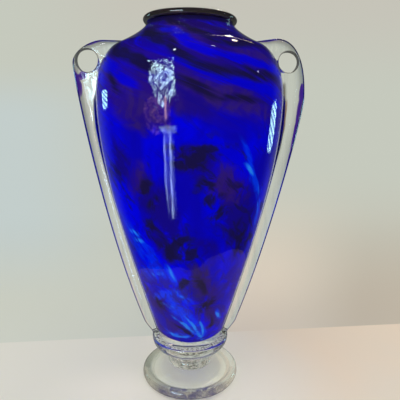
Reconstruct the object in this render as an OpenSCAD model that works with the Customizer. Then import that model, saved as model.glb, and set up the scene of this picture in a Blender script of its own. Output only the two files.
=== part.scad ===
// Blown glass amphora vase: a cobalt bubble cased in clear glass, a dark wrap round the mouth,
// two solid clear handles drawn down the sides, and a collar, stem and foot of clear glass.
// Millimetres, +Z up, the origin at the middle of the foot's underside.

/* [Body] */
// Outside radius at the belly, the widest place
belly_r = 102; // [92:1:112]
// Outside radius where the side leaves the rounded bottom
heel_r = 37.5; // [34:0.5:42]
// Outside radius where the shoulder turns into the neck
turn_r = 80; // [74:1:86]
// Outside radius of the neck at the rim
neck_r = 46.5; // [42:0.5:52]
// Height of the rounded bottom, up to where the side starts
heel_rise = 8; // [6:0.5:11]
// Height from there to the belly
belly_rise = 282; // [240:1:320]
// Height from the belly to the turn of the shoulder
shoulder_rise = 55; // [46:1:64]
// Height from that turn to the cut rim
neck_rise = 25.5; // [22:0.5:30]

/* [Walls] */
// Thickness of the clear casing on the sides
casing_wall = 3.5; // [2.5:0.1:5]
// Thickness of the coloured layer on the sides
colour_wall = 2.5; // [1.5:0.1:4]
// Thickness of the clear casing under the coloured layer
casing_base = 11; // [8:0.5:13]
// Thickness of the coloured layer at the bottom
colour_base = 5; // [3:0.5:8]
// Height of the rounding at the bottom of the coloured layer and of the hollow
bottom_round = 40; // [30:1:46]
// Radius of the flat that the casing sits on
seat_r = 24; // [18:0.5:28]

/* [Lip wrap] */
// Height of the wrap's section
lip_h = 7.5; // [6:0.1:9]
// How far the wrap stands out past the neck
lip_out = 3.8; // [3:0.1:5]
// How far the wrap stands into the mouth
lip_in = 1.5; // [1:0.1:2.5]
// How far the wrap hangs down past the cut rim
lip_lap = 2; // [1:0.1:3]
// Lean of the wrap, in degrees, lower on the right
lip_lean = 1.5; // [0:0.1:2]

/* [Handles] */
// Thickness of a handle from front to back
handle_t = 16; // [12:0.5:20]
// Reach past the casing where the handle ends on the collar
tail_reach = 8.2; // [6:0.2:9]
// Reach past the casing at the hip, where the tail has swelled
hip_reach = 13.5; // [10:0.5:16]
// Height of the hip above the collar
hip_rise = 16; // [13:0.5:20]
// Diameter of the round eye through the left curl
left_eye_d = 24.5; // [20:0.5:27]
// Diameter of the round eye through the right curl
right_eye_d = 22.5; // [20:0.5:25]
// How far the eyes' centres lie below the cut rim
eye_drop = 38.5; // [36:0.5:42]
// Glass between the left eye and the casing, level with the eye's centre
left_eye_web = 6.6; // [4:0.2:8]
// Glass between the right eye and the casing, level with the eye's centre
right_eye_web = 3.6; // [3:0.2:6]
// Glass outside the left eye, as far as the handle's widest place reaches
left_eye_wall = 4.2; // [3.6:0.1:6]
// Glass outside the right eye, as far as the handle's widest place reaches
right_eye_wall = 9.2; // [8:0.1:11]
// Radius of the eyes' fire-polished rims
eye_round = 3; // [2:0.5:4]
// Glass above the eye in the left handle
left_over = 9.4; // [8:0.1:14]
// Glass above the eye in the right handle
right_over = 13.6; // [8:0.2:15]
// How far the left handle's widest place lies below the cut rim
left_wide_drop = 41; // [38:0.5:80]
// How far the right handle's widest place lies below the cut rim
right_wide_drop = 77.5; // [38:0.5:80]
// How far the curl's crown lies outside the casing that is level with the eyes
crown_out = 1.7; // [0.5:0.1:4]
// How far the handle's tip on the shoulder lies below the cut rim
tip_drop = 18.5; // [16:0.5:21]
// Height of the handle's blunt tip above the shoulder
tip_lift = 1.2; // [0.8:0.1:2]
// Radius of the dart-shaped fillet at the handle's root, where it is widest
root_fillet = 7; // [5:0.5:9]
// Gap between a handle and the casing that it is drawn along
seat_gap = 0.05; // [0.02:0.01:0.1]

/* [Collar] */
// Radius of the collar's rim
collar_r = 46.5; // [46:0.5:52]
// Height of the collar
collar_h = 18.5; // [16:0.5:22]
// How far the body sinks into the collar
collar_cup = 10.5; // [9:0.5:12]
// Rounding of the collar's rim
collar_round = 1.8; // [1:0.1:2]

/* [Stem] */
// Radius of the stem's upper bead
bead_r = 29; // [27:0.5:32]
// Radius of the stem's lower bead
ring_r = 26.5; // [24:0.5:28]
// Radius of the groove between the beads
groove_r = 24.5; // [21:0.5:26]
// Height of the stem
stem_h = 19; // [15:0.5:24]

/* [Foot] */
// Radius of the foot
foot_r = 59; // [54:0.5:66]
// Thickness of the foot at its rolled rim
foot_rim = 11; // [9:0.5:13]
// Height of the foot in the middle, where the stem stands
foot_h = 17; // [14:0.5:20]
// Depth of the trough inside the rolled rim
foot_trough = 1.4; // [0.5:0.1:2.5]
// Width of the flat ring that the vase stands on
rest_ring = 8.5; // [5:0.5:12]
// Depth of the polished hollow inside that ring
punty_deep = 2.5; // [1.5:0.1:4]

/* [Hidden] */
$fn = 128;

// Heights of the stack, each piece standing on the one below
stem_z = foot_h;
collar_z = stem_z + stem_h;
collar_top = collar_z + collar_h;
body_z = collar_top - collar_cup;
heel_z = body_z + heel_rise;
belly_z = heel_z + belly_rise;
turn_z = belly_z + shoulder_rise;
rim_z = turn_z + neck_rise;
eye_z = rim_z - eye_drop;
tip_z = rim_z - tip_drop;

// Shares that set how full the curves are: of the stretch that each curve climbs
side_lean_share = 0.31;
side_lead_share = 0.29;
shoulder_lead_share = 0.53;
turn_lean_share = 2.1;
turn_below_share = 0.1;
turn_above_share = 0.33;
neck_lead_share = 0.26;
round_share = 0.55;
bottom_share = 0.45;

// Steps along each stretch of curve
side_steps = 22;
shoulder_steps = 20;
neck_steps = 8;
bottom_steps = 12;
round_steps = 6;

// A point and a run of points on a cubic curve
function bez(a, b, c, d, t) =
    a * pow(1 - t, 3) + b * 3 * t * pow(1 - t, 2) + c * 3 * t * t * (1 - t) + d * pow(t, 3);
function curve(a, b, c, d, steps, first = 0) =
    [for (i = [first : steps]) bez(a, b, c, d, i / steps)];
function arc(centre, r, from, to, steps, first = 0) =
    [for (i = [first : steps])
        let (turn = from + (to - from) * i / steps)
        centre + r * [cos(turn), sin(turn)]];
function unit(v) = v / norm(v);

// Outline of the casing from the heel to the cut rim, as radius and height
heel_pt = [heel_r, heel_z];
belly_pt = [belly_r, belly_z];
turn_pt = [turn_r, turn_z];
rim_pt = [neck_r, rim_z];
side_dir = [side_lean_share, 1];
turn_dir = [-turn_lean_share, 1];
side_pts = concat(
    curve(heel_pt, heel_pt + side_dir * side_lead_share * belly_rise,
          belly_pt - [0, side_lead_share * belly_rise], belly_pt, side_steps),
    curve(belly_pt, belly_pt + [0, shoulder_lead_share * shoulder_rise],
          turn_pt - turn_dir * turn_below_share * shoulder_rise, turn_pt, shoulder_steps, 1),
    curve(turn_pt, turn_pt + turn_dir * turn_above_share * neck_rise,
          rim_pt - [0, neck_lead_share * neck_rise], rim_pt, neck_steps, 1));

// The same outline set in by a wall's thickness, square to the surface
function set_in(pts, wall) =
    let (last = len(pts) - 1)
    [for (i = [0 : last])
        let (along = i == last ? [0, 1] : unit(pts[i + 1] - pts[max(i - 1, 0)]))
        pts[i] + wall * [-along[1], along[0]]];

// One layer's outline: a rounded bottom from its pole, joined to the side set in by the wall
function layer_pts(wall, base) =
    let (pts = set_in(side_pts, wall))
    let (pole_z = body_z + base)
    let (start_z = pole_z + bottom_round)
    let (start = [lookup(start_z, [for (p = pts) [p[1], p[0]]]), start_z])
    concat(
        curve([0, pole_z], [start[0] * bottom_share, pole_z],
              start - side_dir * bottom_round * round_share, start, bottom_steps),
        [for (p = pts) if (p[1] > start_z + bottom_round / bottom_steps) p]);

// Outer radius of the casing at a height
radius_table = [for (p = side_pts) [p[1], p[0]]];
function casing_r(z) = lookup(z, radius_table);

// The space inside each surface of the body, as a solid of revolution
module turned(pts) {
    rotate_extrude() polygon(concat(pts, [[0, pts[len(pts) - 1][1]]]));
}

module casing_space() {
    heel = curve([seat_r, body_z], [seat_r + (heel_r - seat_r) * round_share, body_z],
                 heel_pt - side_dir * heel_rise * round_share, heel_pt, round_steps);
    turned(concat([[0, body_z]], heel, [for (i = [1 : len(side_pts) - 1]) side_pts[i]]));
}

module colour_space() {
    turned(layer_pts(casing_wall, casing_base));
}

module hollow_space() {
    turned(layer_pts(casing_wall + colour_wall, casing_base + colour_base));
}

module clear_casing() {
    color([0.86, 0.9, 0.9, 0.35])
    difference() {
        casing_space();
        colour_space();
    }
}

module colour_body() {
    color([0.05, 0.04, 0.65])
    difference() {
        colour_space();
        hollow_space();
    }
}

// The dark thread round the mouth: an oval ring that laps over the cut rim
lip_mid_r = neck_r + (lip_out - lip_in - casing_wall - colour_wall) / 2;
lip_half_w = (lip_out + lip_in + casing_wall + colour_wall) / 2;
lip_mid_z = rim_z - lip_lap + lip_h / 2;
lip_steps = 24;

module lip_wrap() {
    color([0.07, 0.06, 0.07])
    difference() {
        translate([0, 0, lip_mid_z])
        rotate([0, lip_lean, 0])
        rotate_extrude()
        polygon([for (i = [0 : lip_steps - 1])
            let (turn = 360 * i / lip_steps)
            [lip_mid_r + lip_half_w * cos(turn), lip_h / 2 * sin(turn)]]);
        difference() {
            casing_space();
            hollow_space();
        }
    }
}

// Outer edge of a handle in its own plane: up from the tail on the collar to the widest place,
// over the crown of the curl and in to the tip on the shoulder. The shares set how long each curve
// keeps its direction at either end. The right handle is widest well below its eye, so the curve of
// its curl is drawn to pass level with the eye after a share of its run, which keeps glass round it
tail_steps = 4;
edge_steps = 24;
crown_steps = 14;
top_steps = 6;
tail_lead_share = 0.31;
hip_lean_share = 0.38;
hip_lead_share = 0.37;
swell_share = 0.93;
left_bulge_share = 0.5;
right_beside_share = 0.32;
crown_lead_share = 0.42;

hip_z = collar_top + hip_rise;
hip_pt = [casing_r(hip_z) + hip_reach, hip_z];
hip_dir = [hip_lean_share, 1];
tail_pt = [casing_r(collar_top) + tail_reach, collar_top];
tip_pt = [casing_r(tip_z), tip_z + tip_lift];
eye_pts = [[casing_r(eye_z) + left_eye_web + left_eye_d / 2, eye_z],
           [casing_r(eye_z) + right_eye_web + right_eye_d / 2, eye_z]];
wide_pts = [[eye_pts[0][0] + left_eye_d / 2 + left_eye_wall, rim_z - left_wide_drop],
            [eye_pts[1][0] + right_eye_d / 2 + right_eye_wall, rim_z - right_wide_drop]];
crown_pts = [[casing_r(eye_z) + crown_out, eye_z + left_eye_d / 2 + left_over],
             [casing_r(eye_z) + crown_out, eye_z + right_eye_d / 2 + right_over]];

// Bulge that lifts the curve from wide to crown to a height after a share of its run
function bulge_past(wide, crown, height, run) =
    let (risen = (height - wide[1]) / (crown[1] - wide[1]))
    let (rest = 1 - run)
    (risen - run * run * (3 * rest + run)) / (3 * rest * rest * run);

function rise_pts(wide) =
    let (climb = wide[1] - hip_z)
    concat(
        curve(tail_pt, tail_pt + [tail_reach, hip_rise] * tail_lead_share,
              hip_pt - hip_dir * hip_rise * tail_lead_share, hip_pt, tail_steps),
        curve(hip_pt, hip_pt + hip_dir * climb * hip_lead_share,
              wide - [0, climb * (1 - swell_share)], wide, edge_steps, 1));

function curl_pts(wide, crown, bulge_share) =
    concat(
        curve(wide, wide + [0, crown[1] - wide[1]] * bulge_share,
              crown + [wide[0] - crown[0], 0] * crown_lead_share, crown, crown_steps, 1),
        [for (i = [1 : top_steps]) crown + (tip_pt - crown) * i / top_steps]);

// A place along a run of points, by its share of the run's length
function place_on(pts, share) =
    let (gone = [for (i = 0, s = 0; i < len(pts);
                      s = s + norm(pts[min(i + 1, len(pts) - 1)] - pts[i]), i = i + 1) s])
    let (at = share * gone[len(gone) - 1])
    [for (axis = [0, 1]) lookup(at, [for (i = [0 : len(pts) - 1]) [gone[i], pts[i][axis]]])];

// Heights of a handle's stations on the casing, and the point of the outer edge that belongs to
// each: level with it up to the belly, and fanned round the curl above
root_zs = concat(
    [for (i = [0 : tail_steps]) collar_top + hip_rise * i / tail_steps],
    [for (p = side_pts) if (p[1] > hip_z + tip_lift && p[1] < tip_z - tip_lift) p[1]],
    [tip_z]);
stations = len(root_zs) - 1;
level_stations = len([for (z = root_zs) if (z <= belly_z) z]) - 1;

function edge_at(i, rise, curl) =
    let (table = [for (p = rise) [p[1], p[0]]])
    let (start = [lookup(belly_z, table), belly_z])
    let (above = [for (p = rise) if (p[1] > belly_z + tip_lift) p])
    i <= level_stations
        ? [lookup(root_zs[i], table), root_zs[i]]
        : place_on(concat([start], above, curl),
                   (i - level_stations) / (stations - level_stations));

// Thickness along the handle, and the fillet at its root, as shares of their full size against
// shares of the stations; the fillet swells to a dart just under the eye
thick_shares = [[0, 0.42], [0.1, 0.6], [0.25, 0.8], [0.4, 1], [0.82, 1], [0.91, 0.8], [0.96, 0.55],
                [1, 0.25]];
fillet_shares = [[0, 0.3], [0.3, 0.3], [0.38, 0.45], [0.48, 1], [0.52, 0.85], [0.58, 0.2],
                 [1, 0.15]];
nose_steps = 6;
fillet_steps = 4;
seat_steps = 6;

// One cross-section at a station. Across the casing it lies on the casing's own circle; from
// there a fillet runs out into the flat side, which ends in a rounded nose at the outer edge
function drop_in(r, y) = r - sqrt(r * r - y * y);

function station_ring(i, rise, curl) =
    let (root = [casing_r(root_zs[i]) + seat_gap, root_zs[i]])
    let (span = edge_at(i, rise, curl) - root)
    let (reach = norm(span))
    let (out = span / reach)
    let (thick = handle_t / 2 * lookup(i / stations, thick_shares))
    let (fillet = min(root_fillet * lookup(i / stations, fillet_shares), reach / 2))
    let (nose = min(thick, reach / 2))
    let (side = concat(
        [for (k = [0 : fillet_steps])
            let (turn = 90 * k / fillet_steps)
            let (y = thick + fillet * (1 - sin(turn)))
            [fillet * (1 - cos(turn)), y, drop_in(root[0], y)]],
        [for (k = [0 : nose_steps - 1])
            let (turn = 90 * k / nose_steps)
            [reach - nose * (1 - sin(turn)), thick * cos(turn), 0]]))
    let (last = len(side) - 1)
    let (half = thick + fillet)
    let (section = concat(
        side, [[reach, 0, 0]],
        [for (k = [last : -1 : 0]) [side[k][0], -side[k][1], side[k][2]]],
        [for (k = [1 : seat_steps - 1])
            let (y = half * (2 * k / seat_steps - 1))
            [0, y, drop_in(root[0], y)]]))
    [for (p = section) [root[0] + out[0] * p[0] - p[2], p[1], root[1] + out[1] * p[0]]];

// A solid through a run of rings, closed at both ends round a middle point
module lofted(rings) {
    count = len(rings[0]);
    last = len(rings) - 1;
    points = [for (ring = rings) each ring];
    function middle(ring) = [for (p = ring) 1] * ring / count;
    polyhedron(
        points = concat(points, [middle(rings[0]), middle(rings[last])]),
        faces = concat(
            [for (k = [0 : count - 1]) [len(points), k, (k + 1) % count]],
            [for (i = [0 : last - 1], k = [0 : count - 1])
                let (next = (k + 1) % count)
                each [[i * count + k, (i + 1) * count + k, (i + 1) * count + next],
                      [i * count + k, (i + 1) * count + next, i * count + next]]],
            [for (k = [0 : count - 1])
                [len(points) + 1, last * count + (k + 1) % count, last * count + k]]));
}

// The tool that pierces the eye: straight in the middle and rounded out through both faces
eye_cross_share = 0.8;

module eye_cut(eye_pt, eye_r) {
    straight = handle_t / 2 - eye_round * eye_cross_share;
    flare = arc([eye_r + eye_round, straight], eye_round, 180, 90, round_steps);
    translate([eye_pt[0], 0, eye_pt[1]])
    rotate([90, 0, 0]) {
        cylinder(h = handle_t, r = eye_r, center = true);
        for (end = [0, 1])
            mirror([0, 0, end])
            rotate_extrude()
            polygon(concat([[0, straight]], flare,
                           [[eye_r + eye_round, handle_t], [0, handle_t]]));
    }
}

module handle(rise, curl, eye_pt, eye_r) {
    color([0.82, 0.88, 0.86, 0.35])
    difference() {
        lofted([for (i = [0 : stations]) station_ring(i, rise, curl)]);
        eye_cut(eye_pt, eye_r);
    }
}

module left_handle() {
    mirror([1, 0, 0])
    handle(rise_pts(wide_pts[0]), curl_pts(wide_pts[0], crown_pts[0], left_bulge_share),
           eye_pts[0], left_eye_d / 2);
}

module right_handle() {
    bulge = bulge_past(wide_pts[1], crown_pts[1], eye_z, right_beside_share);
    handle(rise_pts(wide_pts[1]), curl_pts(wide_pts[1], crown_pts[1], bulge),
           eye_pts[1], right_eye_d / 2);
}

// The saucer that carries the body, cupped to the casing's rounded bottom
module collar() {
    side = [collar_r, collar_top - collar_round];
    stem_top_r = (bead_r + groove_r) / 2;
    under = curve([stem_top_r, collar_z],
                  [stem_top_r + (collar_r - stem_top_r) * round_share, collar_z],
                  [collar_r, side[1] - collar_h * round_share], side, bottom_steps);
    rim = arc(side - [collar_round, 0], collar_round, 0, 90, round_steps, 1);
    color([0.84, 0.88, 0.78, 0.4])
    difference() {
        turned(concat([[0, collar_z]], under, rim));
        casing_space();
    }
}

// The short stem: two beads with a groove between them
module stem() {
    stem_top_r = (bead_r + groove_r) / 2;
    groove_z = stem_z + stem_h / 2;
    foot_end = [ring_r - foot_trough, stem_z];
    groove = [groove_r, groove_z];
    low_bead = curve(foot_end, [ring_r + foot_trough, stem_z],
                     [ring_r + foot_trough, groove_z], groove, round_steps);
    high_bead = curve(groove, [bead_r + foot_trough, groove_z],
                      [bead_r + foot_trough, collar_z], [stem_top_r, collar_z], round_steps, 1);
    color([0.72, 0.76, 0.74, 0.4])
    turned(concat([[0, stem_z]], low_bead, high_bead));
}

// The foot: a rolled rim, a shallow trough, a rise to the stem and a polished hollow beneath
module foot() {
    rim_r = foot_rim / 2;
    rim_mid = [foot_r - rim_r, rim_r];
    trough = [foot_r - foot_rim, foot_rim - foot_trough];
    stem_end = [ring_r - foot_trough, foot_h];
    width = trough[0] - stem_end[0];
    punty_r = rim_mid[0] - rest_ring;
    hollow = curve([0, punty_deep], [punty_r * round_share, punty_deep],
                   [punty_r - punty_deep, 0], [punty_r, 0], round_steps);
    rim = arc(rim_mid, rim_r, -90, 90, 2 * round_steps);
    dip = curve(rim_mid + [0, rim_r], rim_mid + [-rim_r / 2, rim_r],
                trough + [rim_r / 2, 0], trough, round_steps, 1);
    rise = curve(trough, trough - [width / 2, 0], stem_end + [width / 3, -width / 6],
                 stem_end, bottom_steps, 1);
    color([0.84, 0.9, 0.88, 0.35])
    turned(concat(hollow, rim, dip, rise));
}

foot();
stem();
collar();
clear_casing();
colour_body();
lip_wrap();
left_handle();
right_handle();
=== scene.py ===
"""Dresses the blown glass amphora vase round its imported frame.

Metres, +Z up, the origin at the middle of the foot's underside, -Y towards the front.
"""

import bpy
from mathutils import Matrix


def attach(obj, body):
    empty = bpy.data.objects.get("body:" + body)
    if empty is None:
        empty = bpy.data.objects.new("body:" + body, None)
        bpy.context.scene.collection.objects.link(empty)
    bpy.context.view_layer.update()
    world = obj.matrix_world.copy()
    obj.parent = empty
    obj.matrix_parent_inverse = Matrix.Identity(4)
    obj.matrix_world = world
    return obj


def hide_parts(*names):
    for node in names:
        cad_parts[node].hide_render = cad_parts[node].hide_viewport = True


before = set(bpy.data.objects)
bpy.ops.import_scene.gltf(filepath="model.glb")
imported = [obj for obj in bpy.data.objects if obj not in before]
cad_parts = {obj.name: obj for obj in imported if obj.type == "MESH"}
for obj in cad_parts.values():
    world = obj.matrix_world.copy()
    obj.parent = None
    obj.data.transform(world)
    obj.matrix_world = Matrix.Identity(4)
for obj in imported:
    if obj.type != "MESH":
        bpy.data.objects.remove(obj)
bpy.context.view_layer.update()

import logging
import math
from dataclasses import dataclass, field
from enum import Enum
from typing import Callable, Sequence

import bpy
from mathutils import Matrix, Vector

LOG = logging.getLogger("vase")
MM = 0.001
TURN_STEPS = 160  # steps round a turned piece
SMOOTH_ANGLE = math.radians(38)  # edges sharper than this stay sharp
MERGE = 1e-6  # points nearer than this are one
OUTWARD = 1e-9  # more than this looks away from the axis
LEVEL = 0.999  # a face whose normal is this upright or more is level
DOWN = -0.99  # a face whose normal's height is under this looks down
MIX_INPUTS = (0, 6, 7)  # share, first and second colour of a Mix node
MIX_RESULT = 2  # mixed colour of a Mix node
SHADED = ("cobalt_glass", "dark_glass")  # slots whose pieces throw a shadow
Point = tuple[float, float]  # place on a plane, mostly a radius and a height
Place = tuple[float, float, float]  # place in space
Colour = tuple[float, float, float]
Span = tuple[float, float]  # where a step starts and ends


class Side(Enum):
    """Side of the vase that a handle stands on, as the sign of its x."""

    LEFT = -1
    RIGHT = 1


class Blend(Enum):
    """Ways to mix two colours."""

    MIX = "MIX"
    TIMES = "MULTIPLY"


def bezier(a: Point, b: Point, c: Point, d: Point, steps: int, first: int = 0) -> list[Point]:
    """Points on a cubic curve.

    Args:
        a: Start.
        b: Handle of the start.
        c: Handle of the end.
        d: End.
        steps: Number of steps from start to end.
        first: Step to begin at.

    Returns:
        The points from that step to the end.
    """
    points = []
    for step in range(first, steps + 1):
        t = step / steps
        shares = ((1 - t) ** 3, 3 * t * (1 - t) ** 2, 3 * t * t * (1 - t), t ** 3)
        points.append(tuple(sum(s * p[i] for s, p in zip(shares, (a, b, c, d))) for i in (0, 1)))
    return points


def arc(centre: Point, radius: float, start: float, end: float, steps: int,
        first: int = 0) -> list[Point]:
    """Points on an arc.

    Args:
        centre: Centre of the arc.
        radius: Its radius.
        start: Angle of the first point, in degrees.
        end: Angle of the last point, in degrees.
        steps: Number of steps between them.
        first: Step to begin at.

    Returns:
        The points from that step to the end.
    """
    points = []
    for step in range(first, steps + 1):
        turn = math.radians(start + (end - start) * step / steps)
        points.append((centre[0] + radius * math.cos(turn), centre[1] + radius * math.sin(turn)))
    return points


def look_up(at: float, table: Sequence[Point]) -> float:
    """Value of a table of (key, value) rows at a key, by straight lines between the rows."""
    if at <= table[0][0]:
        return table[0][1]
    for (key, value), (next_key, next_value) in zip(table, table[1:]):
        if at <= next_key:
            return value + (next_value - value) * (at - key) / (next_key - key)
    return table[-1][1]


def shifted(point: Point, right: float, up: float) -> Point:
    """The point moved right and up."""
    return (point[0] + right, point[1] + up)


def faces_out(face: bpy.types.MeshPolygon) -> bool:
    """Whether a face of a turned piece looks away from the axis, or straight down."""
    across = face.normal.x * face.center.x + face.normal.y * face.center.y
    return across > OUTWARD or face.normal.z < DOWN


class Bench:
    """Modelling steps with Blender's own tools that several pieces share."""

    @staticmethod
    def clear() -> None:
        """Leaves edit mode and deselects everything."""
        if bpy.context.object and bpy.context.object.mode != "OBJECT":
            bpy.ops.object.mode_set(mode="OBJECT")
        bpy.ops.object.select_all(action="DESELECT")

    @staticmethod
    def pick(piece: bpy.types.Object) -> None:
        """Makes one piece the only selected and active one."""
        Bench.clear()
        piece.select_set(True)
        bpy.context.view_layer.objects.active = piece

    @staticmethod
    def named(name: str) -> bpy.types.Object:
        """Names the active object and its mesh, and returns it."""
        piece = bpy.context.object
        piece.name = name
        piece.data.name = name
        return piece

    @staticmethod
    def turned(name: str, outline: Sequence[Point], steps: int = TURN_STEPS) -> bpy.types.Object:
        """Spins an outline round the Z axis, as on a lathe.

        Args:
            name: Name of the piece.
            outline: Radius and height of each point, from pole to pole or in a closed ring.
            steps: Number of steps round.

        Returns:
            The closed piece.
        """
        Bench.clear()
        first = outline[0]
        bpy.ops.mesh.primitive_plane_add(size=MM, location=(0, 0, 0))
        piece = Bench.named(name)
        bpy.ops.object.mode_set(mode="EDIT")
        bpy.ops.mesh.merge(type="CENTER")
        bpy.ops.transform.translate(value=(first[0], 0, first[1]))
        for (radius, height), (next_radius, next_height) in zip(outline, outline[1:]):
            step = (next_radius - radius, 0, next_height - height)
            bpy.ops.mesh.extrude_vertices_move(TRANSFORM_OT_translate={"value": step})
        bpy.ops.mesh.select_all(action="SELECT")
        bpy.ops.mesh.spin(steps=steps, angle=math.tau, center=(0, 0, 0), axis=(0, 0, 1))
        bpy.ops.mesh.select_all(action="SELECT")
        bpy.ops.mesh.remove_doubles(threshold=MERGE)
        bpy.ops.mesh.normals_make_consistent(inside=False)
        bpy.ops.object.mode_set(mode="OBJECT")
        return piece

    @staticmethod
    def smooth(piece: bpy.types.Object, angle: float = SMOOTH_ANGLE) -> None:
        """Shades a piece smooth, with its sharper edges kept sharp."""
        Bench.pick(piece)
        bpy.ops.object.shade_smooth_by_angle(angle=angle)

    @staticmethod
    def dress(piece: bpy.types.Object, finishes: Sequence[bpy.types.Material],
              chosen: Callable[[bpy.types.MeshPolygon], int] | None = None) -> None:
        """Gives a piece its finishes.

        Args:
            piece: The piece.
            finishes: One finish per slot.
            chosen: Gives the slot of a face, or None for the first slot all over.
        """
        piece.data.materials.clear()
        for finish in finishes:
            piece.data.materials.append(finish)
        if chosen:
            for face in piece.data.polygons:
                face.material_index = chosen(face)

    @staticmethod
    def cut(piece: bpy.types.Object, tool: bpy.types.Object) -> None:
        """Cuts a tool's shape out of a piece; the cut faces take the tool's finishes."""
        Bench.pick(piece)
        cutter = piece.modifiers.new("cut", "BOOLEAN")
        cutter.operation = "DIFFERENCE"
        cutter.solver = "EXACT"
        cutter.material_mode = "TRANSFER"
        cutter.object = tool
        bpy.ops.object.modifier_apply(modifier=cutter.name)

    @staticmethod
    def throw_away(tool: bpy.types.Object) -> None:
        """Deletes a tool that has done its cutting."""
        Bench.pick(tool)
        bpy.ops.object.delete()

    @staticmethod
    def seat(piece: bpy.types.Object, slot: str, *nodes: str) -> None:
        """Attaches a piece to the root body, hides the CAD nodes that it stands for, and logs it.

        Args:
            piece: The finished piece.
            slot: Name of a material slot; pieces of the cobalt and dark slots throw a shadow.
            nodes: CAD nodes that it stands for.
        """
        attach(piece, "root")
        piece.visible_shadow = slot in SHADED
        if nodes:
            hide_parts(*nodes)
        LOG.info("%s: %d faces, slot %s, for %s", piece.name, len(piece.data.polygons), slot,
                 ", ".join(nodes) or "no node")


def joins(operation: str, flipped: bool = False) -> Callable[["Wire", "Wire | float"], "Wire"]:
    """Makes a method of Wire that joins the wire and another value by a Math node.

    Args:
        operation: The node's operation.
        flipped: Whether the other value comes first.

    Returns:
        The method.
    """
    def method(self: "Wire", other: "Wire | float") -> "Wire":
        """The two values joined."""
        return self.worked_out(operation, *((other, self) if flipped else (self, other)))

    return method


class Wire:
    """A shader socket that can be used in sums, as in 1 - mask * 0.5."""

    __add__ = __radd__ = joins("ADD")
    __sub__ = joins("SUBTRACT")
    __rsub__ = joins("SUBTRACT", flipped=True)
    __mul__ = __rmul__ = joins("MULTIPLY")
    __truediv__ = joins("DIVIDE")
    __rtruediv__ = joins("DIVIDE", flipped=True)
    __pow__ = joins("POWER")
    __gt__ = joins("GREATER_THAN")
    __lt__ = joins("LESS_THAN")
    over = joins("MAXIMUM")

    def __init__(self, tree: bpy.types.NodeTree, socket: bpy.types.NodeSocket) -> None:
        """Wraps one output socket of a node tree."""
        self.tree = tree
        self.socket = socket

    def worked_out(self, operation: str, *values: "Wire | float") -> "Wire":
        """Adds one Math node over wires and numbers."""
        node = self.tree.nodes.new("ShaderNodeMath")
        node.operation = operation
        for place, value in zip(node.inputs, values):
            if isinstance(value, Wire):
                self.tree.links.new(value.socket, place)
            else:
                place.default_value = value
        return Wire(self.tree, node.outputs[0])

    def size(self) -> "Wire":
        """The value without its sign."""
        return self.worked_out("ABSOLUTE", self)

    def arc_tangent(self) -> "Wire":
        """Angle whose tangent is the wire, in radians."""
        return self.worked_out("ARCTANGENT", self)

    def sine(self) -> "Wire":
        """Sine."""
        return self.worked_out("SINE", self)

    def step(self, start: float, end: float) -> "Wire":
        """Rises smoothly from nought at start to one at end, or falls where end is the lower."""
        node = self.tree.nodes.new("ShaderNodeMapRange")
        node.interpolation_type = "SMOOTHSTEP"
        flip = start > end
        low, high = (end, start) if flip else (start, end)
        for name, value in (("From Min", low), ("From Max", high), ("To Min", float(flip)),
                            ("To Max", float(not flip))):
            node.inputs[name].default_value = value
        self.tree.links.new(self.socket, node.inputs["Value"])
        return Wire(self.tree, node.outputs["Result"])


@dataclass(frozen=True)
class Streak:
    """A patch of colour that was drawn out in the glass, as it lies on a flat sheet.

    On the unrolled body it lies at a turn from the front, in degrees, and on a handle at a reach
    from the middle of the vase. Reach, height, half length and half width are in millimetres, and
    the slant is in degrees.
    """

    reach: float
    height: float
    long: float
    wide: float
    slant: float = 0.0
    weight: float = 1.0


def streaks(*rows: tuple[float, ...]) -> tuple[Streak, ...]:
    """Streaks from rows of reach, height, long, wide, slant and weight."""
    return tuple(Streak(*row) for row in rows)


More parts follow.
